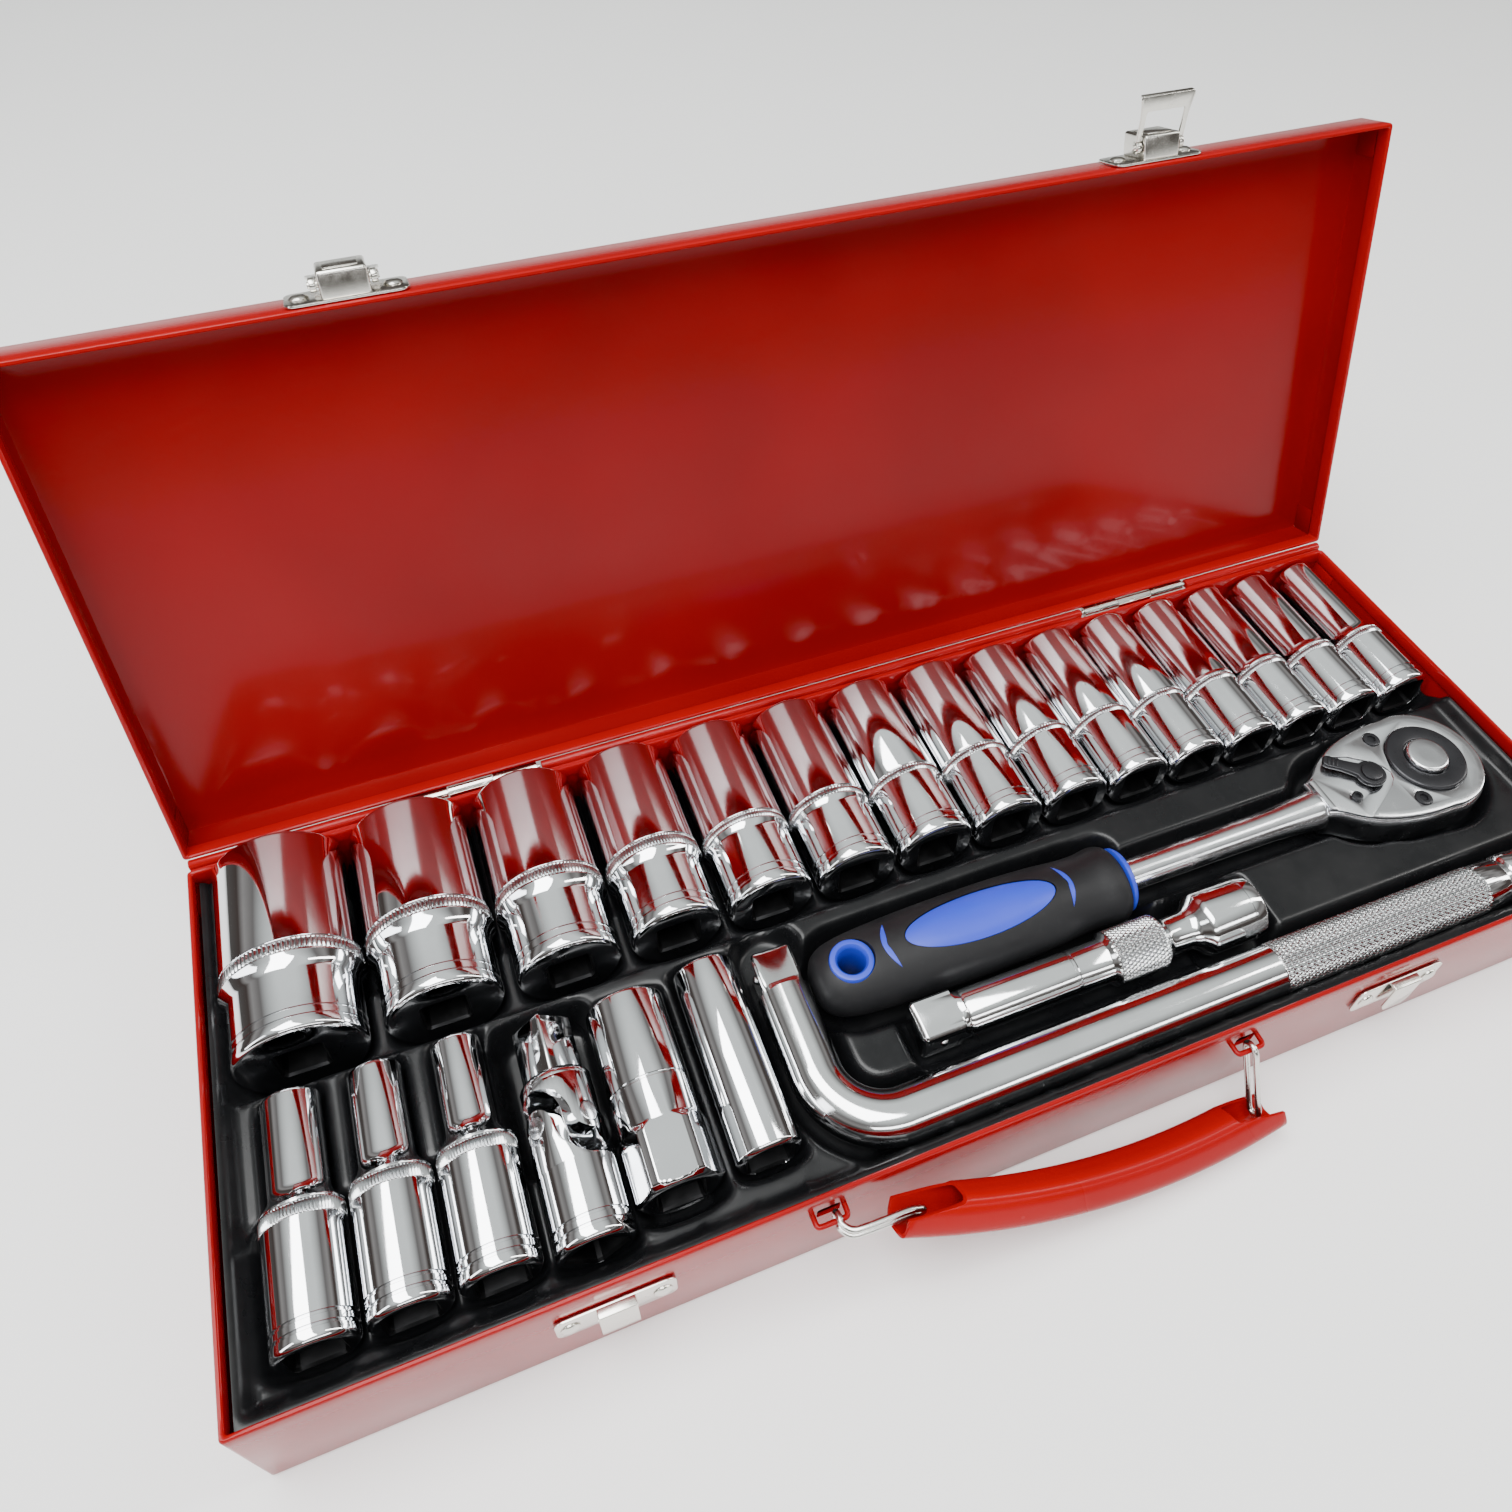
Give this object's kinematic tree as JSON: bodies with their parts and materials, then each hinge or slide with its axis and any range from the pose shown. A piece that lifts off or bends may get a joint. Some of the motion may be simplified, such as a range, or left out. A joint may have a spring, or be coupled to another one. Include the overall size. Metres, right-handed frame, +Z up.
{
  "type": "socket wrench set in case",
  "caption": "Half-inch-drive socket set in a hinged steel case: deep and spark plug sockets, ratchet, L-bar, extension and universal joint in a formed tray.",
  "frame": {"origin": "middle of the underside of the case's base", "axes": "+X along the case, towards the ratchet head; +Y from the latches and handle to the hinges; +Z up"},
  "size_m": [0.44, 0.2511, 0.2201],
  "materials": {
    "red_paint": "glossy deep red stoved paint",
    "handle_red_paint": "glossy red paint on bowed sheet steel",
    "nickel_plate": "bright nickel plate",
    "handle_wire": "plated steel wire",
    "black_tray": "thermoformed black sheet, low gloss",
    "polished_chrome": "mirror-polished chrome plate",
    "bar_chrome": "chrome plate over knurled steel",
    "detent_steel": "ground ball",
    "satin_chrome": "satin chrome plate",
    "black_oxide": "blackened steel",
    "black_rubber": "moulded rubber, fine grain",
    "blue_plastic": "blue moulded plastic"
  },
  "bodies": {
    "case": {"case_base": "red_paint", "hinge_base_leaf_left": "nickel_plate", "hinge_base_leaf_right": "nickel_plate", "catch_plate_left": "nickel_plate", "catch_plate_right": "nickel_plate", "tray_socket_bed": "black_tray", "tray_left_field": "black_tray", "tray_right_floor": "black_tray", "tray_right_field": "black_tray", "tray_border": "black_tray"},
    "lid": {"case_lid": "red_paint", "hinge_lid_leaf_left": "nickel_plate", "hinge_lid_leaf_right": "nickel_plate", "latch_plate_left": "nickel_plate", "latch_plate_right": "nickel_plate"},
    "latch_left": {"latch_lever_left": "nickel_plate"},
    "latch_right": {"latch_lever_right": "nickel_plate"},
    "handle_loops": {"handle_link_left": "handle_wire", "handle_link_right": "handle_wire"},
    "grip": {"handle_grip": "handle_red_paint"},
    "l_bar": {"l_bar": "bar_chrome", "l_bar_detent_ball": "detent_steel"},
    "extension": {"extension_bar": "bar_chrome", "extension_detent_ball": "detent_steel"},
    "ratchet": {"ratchet_body": "satin_chrome", "ratchet_cover": "satin_chrome", "ratchet_cover_screw_1": "black_oxide", "ratchet_cover_screw_2": "black_oxide", "ratchet_cover_screw_3": "black_oxide", "ratchet_grip": "black_rubber", "ratchet_grip_inlay": "blue_plastic", "ratchet_grip_collar": "blue_plastic", "ratchet_hang_eyelet": "blue_plastic"},
    "ratchet_drive": {"ratchet_drive_square": "satin_chrome", "ratchet_drive_ring": "black_oxide"},
    "ratchet_button": {"ratchet_release_button": "satin_chrome"},
    "ratchet_reverse": {"ratchet_reverse_lever": "black_oxide"},
    "joint_socket_yoke": {"uj_socket_yoke": "polished_chrome"},
    "joint_cross": {"uj_cross": "polished_chrome"},
    "joint_plug_yoke": {"uj_plug_yoke": "polished_chrome"},
    "socket_32": {"deep_socket_32mm": "polished_chrome"},
    "socket_30": {"deep_socket_30mm": "polished_chrome"},
    "socket_27": {"deep_socket_27mm": "polished_chrome"},
    "socket_24": {"deep_socket_24mm": "polished_chrome"},
    "socket_22": {"deep_socket_22mm": "polished_chrome"},
    "socket_21": {"deep_socket_21mm": "polished_chrome"},
    "socket_20": {"deep_socket_20mm": "polished_chrome"},
    "socket_19": {"deep_socket_19mm": "polished_chrome"},
    "socket_18": {"deep_socket_18mm": "polished_chrome"},
    "socket_17": {"deep_socket_17mm": "polished_chrome"},
    "socket_16": {"deep_socket_16mm": "polished_chrome"},
    "socket_15": {"deep_socket_15mm": "polished_chrome"},
    "socket_14": {"deep_socket_14mm": "polished_chrome"},
    "socket_13": {"deep_socket_13mm": "polished_chrome"},
    "socket_12": {"deep_socket_12mm": "polished_chrome"},
    "socket_11": {"deep_socket_11mm": "polished_chrome"},
    "socket_10": {"deep_socket_10mm": "polished_chrome"},
    "socket_9": {"deep_socket_9mm": "polished_chrome"},
    "spark_plug_socket_16": {"spark_plug_socket_16mm": "polished_chrome"},
    "spark_plug_socket_14": {"spark_plug_socket_14mm": "polished_chrome"}
  },
  "joints": [
    {"name": "lid_hinge", "type": "hinge", "parent": "case", "child": "lid", "pos_m": [0, 0.0829, 0.04265], "axis": [-1, 0, 0], "range_deg": [-105.7, 0]},
    {"name": "latch_lever_left", "type": "hinge", "parent": "lid", "child": "latch_left", "pos_m": [-0.127, 0.13228, 0.20411], "axis": [-1, 0, 0], "range_deg": [-185, 0]},
    {"name": "latch_lever_right", "type": "hinge", "parent": "lid", "child": "latch_right", "pos_m": [0.127, 0.13228, 0.20411], "axis": [-1, 0, 0], "range_deg": [-76, 109]},
    {"name": "handle_swing", "type": "hinge", "parent": "case", "child": "handle_loops", "pos_m": [0, -0.0844, 0.032], "axis": [-1, 0, 0], "range_deg": [0, 74]},
    {"name": "grip_turn", "type": "hinge", "parent": "handle_loops", "child": "grip", "pos_m": [-0.043, -0.0898, 0.0305], "axis": [0.9813, -0.0529, -0.185], "range_deg": [-20, 25]},
    {"name": "lift_socket_32", "type": "slide", "parent": "case", "child": "socket_32", "axis": [0, 0, 1], "range_m": [0, 0.06]},
    {"name": "lift_socket_30", "type": "slide", "parent": "case", "child": "socket_30", "axis": [0, 0, 1], "range_m": [0, 0.06]},
    {"name": "lift_socket_27", "type": "slide", "parent": "case", "child": "socket_27", "axis": [0, 0, 1], "range_m": [0, 0.06]},
    {"name": "lift_socket_24", "type": "slide", "parent": "case", "child": "socket_24", "axis": [0, 0, 1], "range_m": [0, 0.06]},
    {"name": "lift_socket_22", "type": "slide", "parent": "case", "child": "socket_22", "axis": [0, 0, 1], "range_m": [0, 0.06]},
    {"name": "lift_socket_21", "type": "slide", "parent": "case", "child": "socket_21", "axis": [0, 0, 1], "range_m": [0, 0.06]},
    {"name": "lift_socket_20", "type": "slide", "parent": "case", "child": "socket_20", "axis": [0, 0, 1], "range_m": [0, 0.06]},
    {"name": "lift_socket_19", "type": "slide", "parent": "case", "child": "socket_19", "axis": [0, 0, 1], "range_m": [0, 0.06]},
    {"name": "lift_socket_18", "type": "slide", "parent": "case", "child": "socket_18", "axis": [0, 0, 1], "range_m": [0, 0.06]},
    {"name": "lift_socket_17", "type": "slide", "parent": "case", "child": "socket_17", "axis": [0, 0, 1], "range_m": [0, 0.06]},
    {"name": "lift_socket_16", "type": "slide", "parent": "case", "child": "socket_16", "axis": [0, 0, 1], "range_m": [0, 0.06]},
    {"name": "lift_socket_15", "type": "slide", "parent": "case", "child": "socket_15", "axis": [0, 0, 1], "range_m": [0, 0.06]},
    {"name": "lift_socket_14", "type": "slide", "parent": "case", "child": "socket_14", "axis": [0, 0, 1], "range_m": [0, 0.06]},
    {"name": "lift_socket_13", "type": "slide", "parent": "case", "child": "socket_13", "axis": [0, 0, 1], "range_m": [0, 0.06]},
    {"name": "lift_socket_12", "type": "slide", "parent": "case", "child": "socket_12", "axis": [0, 0, 1], "range_m": [0, 0.06]},
    {"name": "lift_socket_11", "type": "slide", "parent": "case", "child": "socket_11", "axis": [0, 0, 1], "range_m": [0, 0.06]},
    {"name": "lift_socket_10", "type": "slide", "parent": "case", "child": "socket_10", "axis": [0, 0, 1], "range_m": [0, 0.06]},
    {"name": "lift_socket_9", "type": "slide", "parent": "case", "child": "socket_9", "axis": [0, 0, 1], "range_m": [0, 0.06]},
    {"name": "lift_spark_plug_socket_16", "type": "slide", "parent": "case", "child": "spark_plug_socket_16", "axis": [0, 0, 1], "range_m": [0, 0.06]},
    {"name": "lift_spark_plug_socket_14", "type": "slide", "parent": "case", "child": "spark_plug_socket_14", "axis": [0, 0, 1], "range_m": [0, 0.06]},
    {"name": "lift_universal_joint", "type": "slide", "parent": "case", "child": "joint_socket_yoke", "axis": [0, 0, 1], "range_m": [0, 0.06]},
    {"name": "universal_joint_socket_side", "type": "hinge", "parent": "joint_socket_yoke", "child": "joint_cross", "pos_m": [-0.128, -0.0355, 0.033], "axis": [0.7071, 0, -0.7071], "range_deg": [-6, 6]},
    {"name": "universal_joint_plug_side", "type": "hinge", "parent": "joint_cross", "child": "joint_plug_yoke", "pos_m": [-0.128, -0.0355, 0.033], "axis": [0.7071, 0, 0.7071], "range_deg": [-6, 6]},
    {"name": "lift_l_bar", "type": "slide", "parent": "case", "child": "l_bar", "axis": [0, 0, 1], "range_m": [0, 0.06]},
    {"name": "lift_extension", "type": "slide", "parent": "case", "child": "extension", "axis": [0, 0, 1], "range_m": [0, 0.06]},
    {"name": "lift_ratchet", "type": "slide", "parent": "case", "child": "ratchet", "axis": [0, 0, 1], "range_m": [0, 0.06]},
    {"name": "ratchet_drive_spin", "type": "hinge", "parent": "ratchet", "child": "ratchet_drive", "pos_m": [0.1866, -0.0194, 0.033], "axis": [0, 0, 1], "continuous": true},
    {"name": "release_button_press", "type": "slide", "parent": "ratchet_drive", "child": "ratchet_button", "axis": [0, 0, -1], "range_m": [0, 0.0025], "stiffness_N_per_m": 400, "springref_m": -0.003},
    {"name": "reverse_lever_throw", "type": "hinge", "parent": "ratchet", "child": "ratchet_reverse", "pos_m": [0.1622, -0.0189, 0.0415], "axis": [0, 0, 1], "range_deg": [0, 82]}
  ]
}
